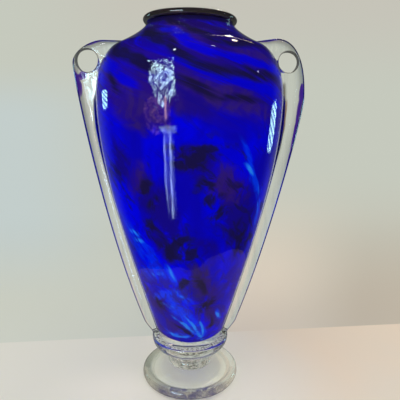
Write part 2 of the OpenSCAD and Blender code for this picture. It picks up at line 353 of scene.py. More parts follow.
class Paint:
    """A node tree under construction."""

    def __init__(self, tree: bpy.types.NodeTree) -> None:
        """Empties the tree and works on it."""
        self.tree = tree
        tree.nodes.clear()

    def node(self, kind: str, settings: dict | None = None, **sockets: object) -> bpy.types.Node:
        """Adds one node.

        Args:
            kind: Node type, without its ShaderNode prefix.
            settings: Attributes of the node, which are set first.
            **sockets: Wire or value for each input, with _ for a space in its name.

        Returns:
            The node.
        """
        node = self.tree.nodes.new("ShaderNode" + kind)
        for name, value in (settings or {}).items():
            setattr(node, name, value)
        for name, value in sockets.items():
            place = node.inputs[name.replace("_", " ")]
            if isinstance(value, Wire):
                self.tree.links.new(value.socket, place)
            elif isinstance(value, bpy.types.NodeSocket):
                self.tree.links.new(value, place)
            else:
                place.default_value = value
        return node

    def wire(self, node: bpy.types.Node, output: str | int = 0) -> Wire:
        """An output of a node as a wire."""
        return Wire(self.tree, node.outputs[output])

    def place(self, scale: Place = (1, 1, 1), turn: Place = (0, 0, 0)) -> Wire:
        """Object coordinates, scaled and turned."""
        coords = self.node("TexCoord").outputs["Object"]
        if scale == (1, 1, 1) and turn == (0, 0, 0):
            return Wire(self.tree, coords)
        return self.wire(self.node("Mapping", Vector=coords, Scale=scale, Rotation=turn))

    def axes(self) -> tuple[Wire, Wire, Wire]:
        """X, Y and Z of the object coordinates."""
        split = self.node("SeparateXYZ", Vector=self.place())
        return tuple(self.wire(split, axis) for axis in ("X", "Y", "Z"))

    def vector(self, x: "Wire | float", y: "Wire | float", z: "Wire | float") -> Wire:
        """A vector from three wires."""
        return self.wire(self.node("CombineXYZ", X=x, Y=y, Z=z))

    def noise(self, at: Wire, scale: float, detail: float = 2.0, rough: float = 0.5,
              warp: float = 0.0) -> Wire:
        """Noise from nought to one."""
        return self.wire(self.node("TexNoise", Vector=at, Scale=scale, Detail=detail,
                                   Roughness=rough, Distortion=warp), "Fac")

    def stretch(self, at: Wire, share: float) -> Wire:
        """A place whose pattern is drawn out along the axis."""
        return self.wire(self.node("Mapping", Vector=at, Scale=(1, 1, share)))

    def mix(self, share: "Wire | float", first: "Wire | Colour", second: "Wire | Colour",
            blend: Blend = Blend.MIX) -> Wire:
        """A colour mixed from two by a share."""
        node = self.node("Mix", {"data_type": "RGBA", "blend_type": blend.value})
        for index, value in zip(MIX_INPUTS, (share, first, second)):
            place = node.inputs[index]
            if isinstance(value, Wire):
                self.tree.links.new(value.socket, place)
            else:
                place.default_value = (*value, 1.0) if index else value
        return Wire(self.tree, node.outputs[MIX_RESULT])

    def bump(self, height: Wire, strength: float, distance: float) -> Wire:
        """A surface relief from a height."""
        return self.wire(self.node("Bump", Height=height, Strength=strength, Distance=distance))

    def blend(self, share: Wire, first: bpy.types.Node, second: bpy.types.Node) -> bpy.types.Node:
        """Two shaders mixed by a share."""
        mixed = self.node("MixShader", Fac=share)
        for index, shader in ((1, first), (2, second)):
            self.tree.links.new(shader.outputs[0], mixed.inputs[index])
        return mixed

    def patches(self, sheet: Wire, laid: Sequence[Streak], measure: float = MM) -> Wire:
        """The streaks of one colour as cones, each one in its middle and nought at its edge.

        Args:
            sheet: Place on the flat sheet, in metres.
            laid: The streaks.
            measure: Metres on the sheet for each unit of a streak's reach.

        Returns:
            The largest cone at each place.
        """
        total = None
        for streak in laid:
            spot = self.node("Mapping", {"vector_type": "TEXTURE"}, Vector=sheet,
                             Location=(streak.reach * measure, streak.height * MM, 0),
                             Rotation=(0, 0, math.radians(streak.slant)),
                             Scale=(streak.long * MM, streak.wide * MM, 1))
            fall = self.wire(self.node("TexGradient", {"gradient_type": "SPHERICAL"},
                                       Vector=self.wire(spot)), "Fac") * streak.weight
            total = total.over(fall) if total else fall
        return total

    def finish(self, shader: bpy.types.Node) -> None:
        """Joins a shader to the output."""
        out = self.node("OutputMaterial")
        self.tree.links.new(shader.outputs[0], out.inputs["Surface"])


def new_finish(name: str) -> tuple[bpy.types.Material, Paint]:
    """A new material with an empty node tree."""
    material = bpy.data.materials.new(name)
    material.use_nodes = True
    return material, Paint(material.node_tree)


@dataclass(frozen=True)
class Finish:
    """A finish; each kind has a shader of its own."""

    name: str

    def shader(self, paint: Paint) -> bpy.types.Node:
        """The surface shader."""
        raise NotImplementedError

    def make(self) -> bpy.types.Material:
        """Builds the material."""
        material, paint = new_finish(self.name)
        paint.finish(self.shader(paint))
        return material


@dataclass(frozen=True)
class ClearGlass(Finish):
    """Fire-polished clear glass with the faint waviness of hand work."""

    tint: Colour = (0.985, 0.993, 0.985)
    wave_scale: float = 26.0
    wave_height: float = 0.05 * MM
    # edge and outline are painted shade: the glass darkens where it turns away and has a dark outline,
    # standing in for the dark edges that refraction gives clear glass, partly the real darkening of thick
    # glass.
    edge: Colour = (0.3, 0.31, 0.3)
    edge_shade_share: float = 0.5
    edge_shade_range: Span = (0.6, 0.95)
    outline: Colour = (0.1, 0.1, 0.1)
    outline_shade_range: Span = (0.84, 0.97)
    outline_shade_share: float = 0.92
    drift: Colour = (0.985, 1, 0.99)
    drift_scale: float = 18.0
    rub_scale: float = 60.0
    rub: float = 0.02
    ior: float = 1.5

    def tints_and_painted_light(self, paint: Paint, colour: Wire) -> Wire:
        """The colour with the glass's own tints and painted light, none of which this glass has."""
        return colour

    def with_painted_reflection(self, paint: Paint, colour: Wire) -> Wire:
        """The colour with a painted reflection over the edge shade, which this glass does not have."""
        return colour

    def edge_shade_weight(self, paint: Paint) -> "Wire | float":
        """How much painted shade darkens the glass where it turns away."""
        return self.edge_shade_share

    def shader(self, paint: Paint) -> bpy.types.Node:
        """The surface shader."""
        waves = paint.noise(paint.place((1, 1, 0.45)), self.wave_scale, 1.0)
        shade = paint.noise(paint.place(), self.drift_scale)
        drifted = tuple(part * share for part, share in zip(self.tint, self.drift))
        colour = paint.mix(shade.step(0.35, 0.75), self.tint, drifted)
        colour = self.tints_and_painted_light(paint, colour)
        # Painted shade where the glass turns away, then a painted dark outline at its very edge.
        turned = paint.wire(paint.node("LayerWeight", Blend=0.5), "Facing")
        colour = paint.mix(turned.step(*self.edge_shade_range) * self.edge_shade_weight(paint), colour, self.edge)
        outline = turned.step(*self.outline_shade_range) * self.outline_shade_share
        colour = self.with_painted_reflection(paint, paint.mix(outline, colour, self.outline))
        rubbed = paint.noise(paint.place(), self.rub_scale).step(0.62, 0.8)
        return paint.node("BsdfPrincipled", Base_Color=colour, Roughness=rubbed * self.rub,
                          IOR=self.ior, Transmission_Weight=1.0,
                          Normal=paint.bump(waves, 1.0, self.wave_height))


@dataclass(frozen=True)
class DrawnGlass(ClearGlass):
    """Clear glass that was drawn down the side, with cords, painted shade along its edges, smoky streaks
    beside the body, and a painted violet reflection of the blue body with a brown fringe.
    """

    # Painted shade along the handle's edges, with a near-black painted outline.
    edge: Colour = (0.22, 0.23, 0.23)
    edge_shade_share: float = 0.75
    edge_shade_range: Span = (0.02, 0.24)
    edge_shade_from: Span = (0.19, 0.32)
    outline: Colour = (0.0005, 0.0005, 0.0005)
    outline_shade_range: Span = (0.36, 0.66)
    cord: Colour = (0.72, 0.74, 0.74)
    # violet is a painted reflection of the blue body in the handle and brown its warm painted fringe;
    # smoke tints streaks beside the body.
    violet: Colour = (0.09, 0.03, 0.42)
    brown: Colour = (0.4, 0.2, 0.14)
    smoke: Colour = (0.2, 0.18, 0.17)
    sway: float = 3 * MM
    sag: float = 6 * MM
    violet_reflections: tuple[Streak, ...] = streaks(
        (122.8, 343, 13, 2.4, 90), (121, 325, 22, 2.2, 82), (117.6, 300, 34, 2, 81),
        (111.8, 265, 40, 2.0, 79), (103.2, 226, 40, 1.6, 76, 0.8), (84, 399, 14, 2.2, 3),
        (-122.6, 352, 18, 5, -80), (-117.5, 360, 6, 4.4, 20), (-99.5, 370, 9, 3, -78),
        (-104, 394.5, 12, 2.2, 12))
    brown_reflections: tuple[Streak, ...] = streaks(
        (124.6, 336, 14, 2.2, 88), (122.2, 315, 24, 2.2, 80), (117.6, 288, 32, 1.8, 80),
        (105.5, 318, 26, 1.6, 86))
    smokes: tuple[Streak, ...] = streaks(
        (103.5, 338, 22, 4, 90), (104.5, 315, 24, 2.6, 88), (101, 288, 24, 2, 80),
        (99, 372, 9, 3.2, -60))

    def edge_shade_weight(self, paint: Paint) -> Wire:
        """The painted edge shade, partly the real darkening of thick glass, is stronger on the thick
        upper part of a handle than on its thin lower part.
        """
        return paint.axes()[2].step(*self.edge_shade_from) * self.edge_shade_share

    def cords(self, paint: Paint) -> Wire:
        """The fine cords along the handles."""
        return paint.noise(paint.place((1, 1, 0.05)), 260.0, 3.0, 0.6)

    def streak_share(self, paint: Paint, laid: Sequence[Streak], full: float) -> Wire:
        """How much of one set of streaks shows, torn by the cords.

        Args:
            paint: The tree to work in.
            laid: The colour's streaks on the handles' flat sheet.
            full: Height of a streak's cone at which the colour is full.

        Returns:
            The share of that colour.
        """
        x, _, z = paint.axes()
        wave = paint.noise(paint.place((1, 1, 0.6)), 60.0, 3.0) - 0.5
        sheet = paint.vector(x + wave * self.sway, z + wave * self.sag, 0.0)
        torn = 1 + (self.cords(paint) - 0.5) * 3
        return (paint.patches(sheet, laid) * torn).step(0.12, full)

    def tints_and_painted_light(self, paint: Paint, colour: Wire) -> Wire:
        """The colour with cords along the handle, smoky streaks and the painted brown fringe of the
        reflection.
        """
        cords = self.cords(paint)
        colour = paint.mix(cords.step(0.42, 0.7) * 0.5, colour, self.cord)
        smoke = self.streak_share(paint, self.smokes, 0.4) * (0.4 + cords.step(0.35, 0.6) * 0.6)
        colour = paint.mix(smoke, colour, self.smoke)
        return paint.mix(self.streak_share(paint, self.brown_reflections, 0.4), colour, self.brown)

    def with_painted_reflection(self, paint: Paint, colour: Wire) -> Wire:
        """The colour with the painted violet reflection of the blue body."""
        return paint.mix(self.streak_share(paint, self.violet_reflections, 0.3), colour, self.violet)


@dataclass(frozen=True)
class FootGlass(ClearGlass):
    """Clear glass whose rolled rim has painted shade on its left side and a painted violet reflection
    towards the front.
    """

    rim: Span = (47 * MM, 52 * MM)
    front: Span = (-34 * MM, -50 * MM)
    left: Span = (30 * MM, -30 * MM)
    fold: float = 3 * MM
    # Painted shade on the left of the rim, and a painted violet reflection on its front.
    painted_shade_grey: Colour = (0.6, 0.62, 0.57)
    violet: Colour = (0.06, 0.06, 0.22)

    def tints_and_painted_light(self, paint: Paint, colour: Wire) -> Wire:
        """The colour with painted shade on the left of the rim and a painted violet reflection at its
        front.
        """
        x, y, _ = paint.axes()
        folds = paint.noise(paint.place(), 110.0, 3.0, 0.6, 1.0)
        rim = ((x * x + y * y) ** 0.5 + (folds - 0.5) * self.fold).step(*self.rim)
        # Painted shade on the left side of the rim.
        colour = paint.mix(rim * x.step(*self.left) * 0.9, colour, self.painted_shade_grey)
        # Painted violet reflection on the front of the rim.
        front = y.step(*self.front) * (0.4 + folds.step(0.35, 0.6) * 0.6)
        return paint.mix(rim * front, colour, self.violet)


@dataclass(frozen=True)
class SeedyGlass(Finish):
    """Clear glass full of small bubbles, which break up what is seen through it."""

    tint: Colour = (0.96, 0.965, 0.95)
    smoke: Colour = (0.16, 0.155, 0.12)
    cells: float = 560.0
    relief: float = 0.6 * MM

    def shader(self, paint: Paint) -> bpy.types.Node:
        """The surface shader."""
        cell = paint.wire(paint.node("TexVoronoi", {"feature": "SMOOTH_F1"},
                                     Vector=paint.place(), Scale=self.cells), "Distance")
        clouds = paint.noise(paint.place(), 120.0, 2.0)
        colour = paint.mix(cell.step(0.2, 0.6) * clouds.step(0.35, 0.6), self.tint, self.smoke)
        return paint.node("BsdfPrincipled", Base_Color=colour, Roughness=0.06, IOR=1.5,
                          Transmission_Weight=1.0,
                          Normal=paint.bump(cell * clouds.step(0.3, 0.6), 1.0, self.relief))


@dataclass(frozen=True)
class SeedLayer(Finish):
    """Small bubbles that were trapped where two hot pieces met; between them nothing shows."""

    pale: Colour = (1.0, 1.0, 0.8)
    shade: Colour = (0.42, 0.4, 0.28)
    cells: float = 520.0
    cover: float = 0.6
    rim: float = 0.08
    band: Span = (44.5 * MM, 47.5 * MM)

    def shader(self, paint: Paint) -> bpy.types.Node:
        """The surface shader."""
        cell = paint.wire(paint.node("TexVoronoi", Vector=paint.place(), Scale=self.cells), "Distance")
        clouds = paint.noise(paint.place(), 90.0, 2.0)
        colour = paint.mix(cell.step(0.3, 0.62), self.pale, self.shade)
        seeds = cell.step(self.cover + self.rim, self.cover) * clouds.step(0.3, 0.46)
        return paint.node("BsdfPrincipled", Base_Color=colour, Roughness=0.15,
                          Alpha=seeds * paint.axes()[2].step(*self.band))


@dataclass(frozen=True)
class Joint(Finish):
    """Where two hot pieces have fused there is no surface, so nothing shows."""

    name: str = "fused_joint"

    def shader(self, paint: Paint) -> bpy.types.Node:
        """The surface shader."""
        return paint.node("BsdfPrincipled", Base_Color=(1, 1, 1, 1), Roughness=0.5, Alpha=0.0)


@dataclass(frozen=True)
class Cobalt(Finish):
    """Cobalt glass with dark streaks that wind down the shoulder and azure trails lower down."""

    name: str = "cobalt_glass"
    # glow lays the colour on again as light: a painted glow standing in for light passing through the
    # blue glass.
    glow: float = 0.4
    unrolled_r: float = 85 * MM
    sway: float = 16 * MM
    sag: float = 14 * MM
    twist: tuple[float, float] = (3.0, 33.0)
    strand_twist: float = 10.0
    blue: Colour = (0.0, 0.0, 0.72)
    deep: Colour = (0.003, 0.001, 0.4)
    navy: Colour = (0.008, 0.003, 0.2)
    violet: Colour = (0.022, 0.006, 0.2)
    smoke: Colour = (0.032, 0.012, 0.15)
    umber: Colour = (0.024, 0.017, 0.075)
    dusk: Colour = (0.012, 0.003, 0.1)
    bright: Colour = (0.0, 0.0, 0.66)
    dark: Colour = (0.01, 0.007, 0.04)
    azure: Colour = (0.0, 0.045, 0.86)
    cyan: Colour = (0.02, 0.26, 0.92)
    depths: tuple[Streak, ...] = streaks(
        (-20, 226, 60, 26, -58), (38, 215, 75, 34, -60), (4, 275, 30, 24, -20, 0.9),
        (-44, 270, 40, 20, -70, 0.7), (20, 360, 70, 34, -15, 0.9), (-8, 392, 60, 22, -25),
        (-25, 350, 30, 26, -25, 0.7), (10, 130, 50, 26, -50, 0.8), (-44, 112, 40, 20, -35, 0.8),
        (12, 186, 26, 20, -50, 0.6), (-2, 332, 40, 24, -22, 0.9), (-24, 318, 34, 22, -30, 0.9),
        (-24, 196, 40, 22, -60, 0.9), (10, 150, 40, 24, -50, 0.8))
    veils: tuple[Streak, ...] = streaks(
        (-36, 330, 56, 26, -36), (22, 333, 70, 17, -20), (-34, 257, 30, 18, 62, 0.8),
        (24, 252, 44, 28, -35, 0.8), (-5, 388, 60, 16, -28), (40, 372, 40, 8, -8, 0.8),
        (14, 143, 44, 24, -50, 0.9), (26, 100, 44, 16, -62, 0.9), (-44, 118, 36, 18, -30, 0.9),
        (-25, 86, 30, 9, -25, 0.8), (-20, 336, 40, 20, -30, 0.9))
    darks: tuple[Streak, ...] = streaks(
        (0, 277, 20, 15, 20), (7, 289, 40, 6, 2, 0.9), (10, 263, 20, 8, -60, 0.8),
        (-30, 250, 24, 9, 60, 0.8), (-25, 233, 20, 9, 58, 0.8), (-31, 210, 26, 9, 62, 0.8),
        (8, 254, 24, 11, 50, 0.8), (14, 240, 24, 9, 15, 0.8), (21, 222, 24, 13, 30, 0.9),
        (45, 192, 40, 20, -60, 0.6), (-9, 188, 32, 18, 42), (0, 178, 24, 15, 0),
        (-22, 190, 26, 13, -50, 0.7), (-6, 146, 22, 10, 35, 0.8), (12, 140, 22, 10, -50, 0.8),
        (17, 114, 32, 11, 20, 0.8), (-42, 118, 30, 11, -30, 0.8), (-4, 78, 40, 4, -20),
        (32, 84, 26, 9, -60, 0.7))
    arcs: tuple[Streak, ...] = streaks(
        (-28, 387, 46, 7, -23), (-6, 372, 38, 8, -32), (12, 358, 42, 7.5, -15), (36, 354, 56, 9, -2),
        (-17, 402, 54, 6, -18), (6, 389, 38, 6, -20), (32, 382, 48, 6, -2), (-50, 377, 52, 9, -20),
        (-27, 364, 32, 8, -26), (4, 341, 38, 7, -24, 0.8), (28, 332, 40, 6, -4, 0.8),
        (-45, 346, 26, 8, -46, 0.6))
    brights: tuple[Streak, ...] = streaks(
        (-12, 388, 38, 6, -21), (10, 374, 42, 7, -17), (33, 366, 46, 7, -10), (4, 357, 32, 7, -22),
        (26, 347, 48, 8, -10), (46, 343, 32, 8, -6), (-52, 362, 38, 9, -23), (-36, 351, 26, 8, -35))
    azures: tuple[Streak, ...] = streaks(
        (-46, 186, 60, 20, -44, 0.7), (-38, 153, 40, 15, 14), (-18, 154, 20, 9, -60),
        (-27, 128, 40, 9, 14), (-10, 126, 30, 8, -28), (-8, 104, 66, 20, -38, 0.85),
        (46, 252, 50, 6, -56), (57, 222, 32, 7, -80), (5, 84, 56, 14, -32), (-26, 73, 60, 9, 2),
        (22, 76, 34, 10, -30), (40, 98, 18, 8, -35), (34, 284, 26, 4, -62, 0.7))
    cyans: tuple[Streak, ...] = streaks(
        (-47, 197, 22, 5, 6, 0.8), (-45, 189, 14, 5, 6, 0.8), (37, 268, 18, 4, -40, 0.7),
        (-17, 156, 18, 5, -66, 0.7), (-28, 114, 22, 5, -5, 0.7), (-10, 128, 24, 3.4, -30, 0.7),
        (-6, 87, 40, 4, -26), (6, 85, 36, 4.4, -42), (18, 82, 28, 4, -52), (-24, 71, 50, 5, 2),
        (20, 71, 32, 6, -20), (39, 98, 16, 4, -32), (54, 232, 30, 3, -70, 0.7),
        (-34, 152, 22, 6, 15, 0.6))

    def sheet(self, paint: Paint) -> tuple[Wire, Wire]:
        """The body unrolled flat, front and back alike, with the unevenness of hand work.

        Args:
            paint: The tree to work in.

        Returns:
            The place on the sheet, and the body unwound along the swirl.
        """
        x, y, z = paint.axes()
        round_it = (x / (0 - y)).arc_tangent()
        across = paint.noise(paint.place(), 21.0, 2.0) - 0.5
        up = paint.noise(paint.place((1, 1, 1), (0.6, 0.9, 0.3)), 24.0, 2.0) - 0.5
        flat = paint.vector(round_it * self.unrolled_r + across * self.sway, z + up * self.sag, 0.0)
        return flat, self.unwound(paint, z * self.twist[0] + z * z * self.twist[1])

    def unwound(self, paint: Paint, angle: Wire) -> Wire:
        """The place on the body turned back round its axis by an angle."""
        return paint.wire(paint.node("VectorRotate", {"rotation_type": "Z_AXIS"},
                                     Vector=paint.place(), Angle=angle))

    def shader(self, paint: Paint) -> bpy.types.Node:
        """The surface shader."""
        height = paint.axes()[2]
        high = height.step(0.29, 0.36)
        low = height.step(0.2, 0.12)
        sheet, swirl = self.sheet(paint)
        strand = self.unwound(paint, height * self.strand_twist)
        silk = paint.noise(paint.stretch(swirl, 0.3), 30.0, 3.0, 0.6, 0.6)
        thread = paint.noise(paint.stretch(swirl, 0.3), 60.0, 4.0, 0.65, 0.8)
        mottle = paint.noise(paint.place((1, 1, 0.8)), 62.0, 5.0, 0.62, 0.9)
        cloud = paint.noise(paint.place((1, 1, 0.7)), 17.0, 3.0, 0.5, 0.8)
        wisps = paint.noise(paint.stretch(strand, 0.3), 90.0, 4.0, 0.62, 0.8) - 0.5
        flecks = paint.noise(paint.stretch(strand, 0.5), 95.0, 3.0, 0.55, 0.5).step(0.52, 0.64)
        ragged = (mottle - 0.5) * (1 - high) + (thread - 0.5) * high
        silky = 1 + (thread - 0.5) * 3.5

        def trail(laid: Sequence[Streak], torn: Wire, start: float, end: float) -> Wire:
            """The share of one colour's streaks, whose cones are torn and then cut to a range."""
            degree = math.radians(1) * self.unrolled_r
            return (paint.patches(sheet, laid, degree) * torn).step(start, end)

        tone = silk * high + cloud * (1 - high)
        azure = trail(self.azures, 1 + wisps * 5, 0.12, 0.8) * (0.75 - mottle.step(0.48, 0.62) * 0.4)
        smoky = paint.mix(mottle.step(0.42, 0.6), self.violet, self.smoke)
        earthy = paint.mix(cloud.step(0.42, 0.58), self.violet, self.umber)
        zone = height.step(0.15, 0.19) * height.step(0.33, 0.28) * cloud.step(0.4, 0.52)
        layers = (
            (trail(self.depths, 1 + ragged * 3, 0.08, 0.6) * 0.92, self.navy),
            (high * silk.step(0.62, 0.4) * 0.7, self.violet),
            (height.step(0.355, 0.388) * thread.step(0.62, 0.44) * 0.8, self.dusk),
            (trail(self.veils, 1 + ragged * 3, 0.1, 0.7) * 0.88, smoky),
            (trail(self.brights, silky, 0.1, 0.6) * 0.85, self.bright),
            (low * mottle.step(0.42, 0.58) * 0.7, earthy),
            (flecks * zone * 0.7, self.dark),
            (azure, self.azure),
            (trail(self.darks, 1 + ragged * 6, 0.1, 0.7) * 0.9, self.dark),
            (trail(self.arcs, silky, 0.08, 0.72) * 0.92, self.dark),
            (trail(self.cyans, 1 + wisps * 6, 0.2, 1.1) * 0.9, self.cyan),
            (height.step(0.405, 0.409) * 0.9, self.dark))
        colour = paint.mix(tone.step(0.36, 0.6), self.deep, self.blue)
        for share, layer in layers:
            colour = paint.mix(share, colour, layer)
        # The emission is a painted glow; the glass is no lamp.
        return paint.node("BsdfPrincipled", Base_Color=colour, Roughness=0.25, Specular_IOR_Level=0.0,
                          Emission_Color=colour, Emission_Strength=self.glow)


@dataclass(frozen=True)
class InnerCobalt(Finish):
    """The inside of the cobalt layer, which shows only through the mouth."""

    name: str = "cobalt_inside"
    blue: Colour = (0.002, 0.0, 0.4)
    dark: Colour = (0.01, 0.003, 0.05)

    def shader(self, paint: Paint) -> bpy.types.Node:
        """The surface shader."""
        silk = paint.noise(paint.place((1, 1, 0.4), (0.3, 0.2, 0)), 30.0, 3.0, 0.6, 0.8)
        return paint.node("BsdfPrincipled", Roughness=0.08, Specular_IOR_Level=0.5,
                          Base_Color=paint.mix(silk.step(0.4, 0.62), self.dark, self.blue))


@dataclass(frozen=True)
class DarkGlass(Finish):
    """Near-black glass with a purple-brown tint."""

    name: str = "dark_thread_glass"
    dark: Colour = (0.006, 0.003, 0.006)
    brown: Colour = (0.03, 0.012, 0.012)
    wave_height: float = 0.08 * MM

    def shader(self, paint: Paint) -> bpy.types.Node:
        """The surface shader."""
        cloud = paint.noise(paint.place(), 22.0, 3.0)
        waves = paint.noise(paint.place(), 90.0, 1.0)
        return paint.node("BsdfPrincipled", Roughness=0.04, IOR=1.5,
                          Base_Color=paint.mix(cloud.step(0.4, 0.7), self.dark, self.brown),
                          Normal=paint.bump(waves, 1.0, self.wave_height))


class Finishes:
    """The finishes that the pieces share, made once."""

    def __init__(self) -> None:
        """Makes them all."""
        black = (0.0005, 0.0005, 0.0005)
        self.clear = ClearGlass("clear_glass").make()
        self.drawn = DrawnGlass("drawn_handle_glass").make()
        # The collar has no edge shade, only a near-black painted outline.
        self.collar = ClearGlass("collar_glass", edge_shade_share=0.0, outline=black,
                                 outline_shade_range=(0.66, 0.9)).make()
        self.foot = FootGlass("foot_glass", tint=(1.0, 0.985, 0.94)).make()
        self.casing = ClearGlass("casing_glass", tint=(0.985, 0.988, 0.99), wave_scale=70.0,
                                 wave_height=0.1 * MM).make()
        self.seedy = SeedyGlass("seedy_stem_glass").make()
        self.seeds = SeedLayer("trapped_seeds").make()
        self.joint = Joint().make()
        self.cobalt = Cobalt().make()
        self.inside = InnerCobalt().make()
        self.dark = DarkGlass().make()


@dataclass
class Body:
    """The blown body: a cobalt layer under a clear casing."""

    belly_r: float = 102 * MM
    heel_r: float = 37.5 * MM
    turn_r: float = 80 * MM
    neck_r: float = 46.5 * MM
    heel_rise: float = 8 * MM
    belly_rise: float = 282 * MM
    shoulder_rise: float = 55 * MM
    neck_rise: float = 25.5 * MM
    casing_wall: float = 3.5 * MM
    colour_wall: float = 2.5 * MM
    casing_base: float = 11 * MM
    colour_base: float = 5 * MM
    bottom_round: float = 40 * MM
    seat_r: float = 24 * MM
    base_z: float = 44 * MM
    overlap: float = 0.5 * MM
    side_lean: float = 0.31
    side_lead: float = 0.29
    shoulder_lead: float = 0.53
    turn_lean: float = 2.1
    turn_below: float = 0.1
    turn_above: float = 0.33
    neck_lead: float = 0.26
    round_share: float = 0.55
    bottom_share: float = 0.45
    lip_cover: float = 1.2 * MM
    bottom_skip: float = 5 * MM
    bottom_steps: int = 16
    heel_steps: int = 10
    side_steps: tuple[int, int, int] = (56, 30, 14)
    side: list[Point] = field(init=False)

    def __post_init__(self) -> None:
        """Works out the heights and the outline of the side."""
        self.heel_z = self.base_z + self.heel_rise
        self.belly_z = self.heel_z + self.belly_rise
        self.turn_z = self.belly_z + self.shoulder_rise
        self.rim_z = self.turn_z + self.neck_rise
        heel = (self.heel_r, self.heel_z)
        belly = (self.belly_r, self.belly_z)
        turn = (self.turn_r, self.turn_z)
        rim = (self.neck_r, self.rim_z)
        lead = self.side_lead * self.belly_rise
        below = self.turn_below * self.shoulder_rise
        above = self.turn_above * self.neck_rise
        self.side = (
            bezier(heel, shifted(heel, self.side_lean * lead, lead), shifted(belly, 0, -lead),
                   belly, self.side_steps[0])
            + bezier(belly, shifted(belly, 0, self.shoulder_lead * self.shoulder_rise),
                     shifted(turn, self.turn_lean * below, -below), turn,
                     self.side_steps[1], 1)
            + bezier(turn, shifted(turn, -self.turn_lean * above, above),
                     shifted(rim, 0, -self.neck_lead * self.neck_rise), rim,
                     self.side_steps[2], 1))

    def radius(self, z: float) -> float:
        """Outer radius of the casing at a height."""
        return look_up(z, [(height, radius) for radius, height in self.side])

    def set_in(self, wall: float) -> list[Point]:
        """The side's outline set in by a wall, square to the surface."""
        points = []
        last = len(self.side) - 1
        for index, point in enumerate(self.side):
            before = self.side[max(index - 1, 0)]
            after = self.side[min(index + 1, last)]
            along = Vector((after[0] - before[0], after[1] - before[1])).normalized()
            along = Vector((0, 1)) if index == last else along
            points.append((point[0] - wall * along[1], point[1] + wall * along[0]))
        return points

    def layer(self, wall: float, base: float) -> list[Point]:
        """Outline of one layer's inside, from its pole to the rim."""
        points = self.set_in(wall)
        pole_z = self.base_z + base
        start_z = pole_z + self.bottom_round
        start = (look_up(start_z, [(z, r) for r, z in points]), start_z)
        bend = self.bottom_round * self.round_share
        low = bezier((0, pole_z), (start[0] * self.bottom_share, pole_z),
                     shifted(start, -self.side_lean * bend, -bend), start, self.bottom_steps)
        return low + [p for p in points if p[1] > start_z + self.bottom_skip]

    def outside(self, joint_z: float) -> list[Point]:
        """Outline of the casing's outside from its pole to the rim, with a ring at a height."""
        heel = (self.heel_r, self.heel_z)
        bend = self.heel_rise * self.round_share
        lead = (self.heel_r - self.seat_r) * self.round_share
        heel_curve = bezier((self.seat_r, self.base_z), (self.seat_r + lead, self.base_z),
                            shifted(heel, -self.side_lean * bend, -bend), heel, self.heel_steps)
        side = sorted(self.side[1:] + [(self.radius(joint_z), joint_z)], key=lambda p: p[1])
        return [(0, self.base_z)] + heel_curve + side

    def build(self, finishes: Finishes, joint_z: float) -> tuple[bpy.types.Object, bpy.types.Object]:
        """Models both layers.

        Args:
            finishes: The shared finishes.
            joint_z: Height up to which the casing has fused into the collar.

        Returns:
            The casing and the cobalt layer.
        """
        inner = self.layer(self.casing_wall + self.overlap, self.casing_base + self.overlap)
        casing = Bench.turned("clear_casing_glass", self.outside(joint_z) + inner[::-1])

        def casing_slot(face: bpy.types.MeshPolygon) -> int:
            """The joint slot for outside faces in the collar and under the lip."""
            fused = face.center.z < joint_z or face.center.z > self.rim_z - self.lip_cover
            return int(fused and faces_out(face))

        Bench.smooth(casing)
        Bench.dress(casing, (finishes.casing, finishes.joint), casing_slot)
        cover = self.layer(self.casing_wall, self.casing_base)
        hollow = self.layer(self.casing_wall + self.colour_wall, self.casing_base + self.colour_base)
        colour = Bench.turned("cobalt_layer", cover + hollow[::-1])
        Bench.smooth(colour)
        Bench.dress(colour, (finishes.cobalt, finishes.inside),
                    lambda face: int(not faces_out(face)))
        return casing, colour


@dataclass
class Lip:
    """The dark thread round the cut rim, under a thin clear skin."""

    rim_r: float = 46.5 * MM
    rim_z: float = 414.5 * MM
    height: float = 7.5 * MM
    out: float = 3.8 * MM
    within: float = 1.5 * MM
    walls: float = 6 * MM
    lap: float = 2 * MM
    lean: float = 0.4
    rise: float = 1.0 * MM
    dip: float = 0.5 * MM
    skin_out: float = 1.5 * MM
    skin_top: float = 0.7 * MM
    steps: int = 40
    smooth_angle: float = math.radians(80)

    def oval(self, out: float, within: float, up: float, down: float) -> list[Point]:
        """Outline of the ring, set in by a skin on each side."""
        middle = self.rim_r + (self.out - self.within - self.walls) / 2
        half = (self.out + self.within + self.walls) / 2
        centre = (middle + (within - out) / 2,
                  self.rim_z - self.lap + self.height / 2 + (down - up) / 2)
        wide = half - (out + within) / 2
        tall = self.height / 2 - (up + down) / 2
        return [(centre[0] + wide * math.cos(turn), centre[1] + tall * math.sin(turn))
                for turn in (math.tau * step / self.steps for step in range(self.steps + 1))]

    def build(self, finishes: Finishes) -> tuple[bpy.types.Object, bpy.types.Object]:
        """Models the thread and its skin."""
        thread = Bench.turned("lip_thread", self.oval(self.skin_out, *(self.skin_top,) * 3))
        skin = Bench.turned("lip_skin", self.oval(0, 0, 0, 0))
        middle_z = self.rim_z - self.lap + self.height / 2
        lean = (Matrix.Translation((0, 0, middle_z))
                @ Matrix.Rotation(math.radians(self.lean), 4, "Y")
                @ Matrix.Translation((0, 0, -middle_z)))
        for piece in (thread, skin):
            piece.data.transform(lean)
            for vertex in piece.data.vertices:
                side = vertex.co.x ** 2 / (vertex.co.x ** 2 + vertex.co.y ** 2)
                vertex.co.z += self.rise * side - self.dip * (1 - side)
            Bench.smooth(piece, self.smooth_angle)
        Bench.dress(thread, (finishes.dark,))

        def skin_slot(face: bpy.types.MeshPolygon) -> int:
            """The joint slot for faces that lie in the neck."""
            reach = math.hypot(face.center.x, face.center.y)
            inside = self.rim_r - self.walls < reach < self.rim_r
            return int(face.center.z < self.rim_z and inside)

        Bench.dress(skin, (finishes.clear, finishes.joint), skin_slot)
        return thread, skin


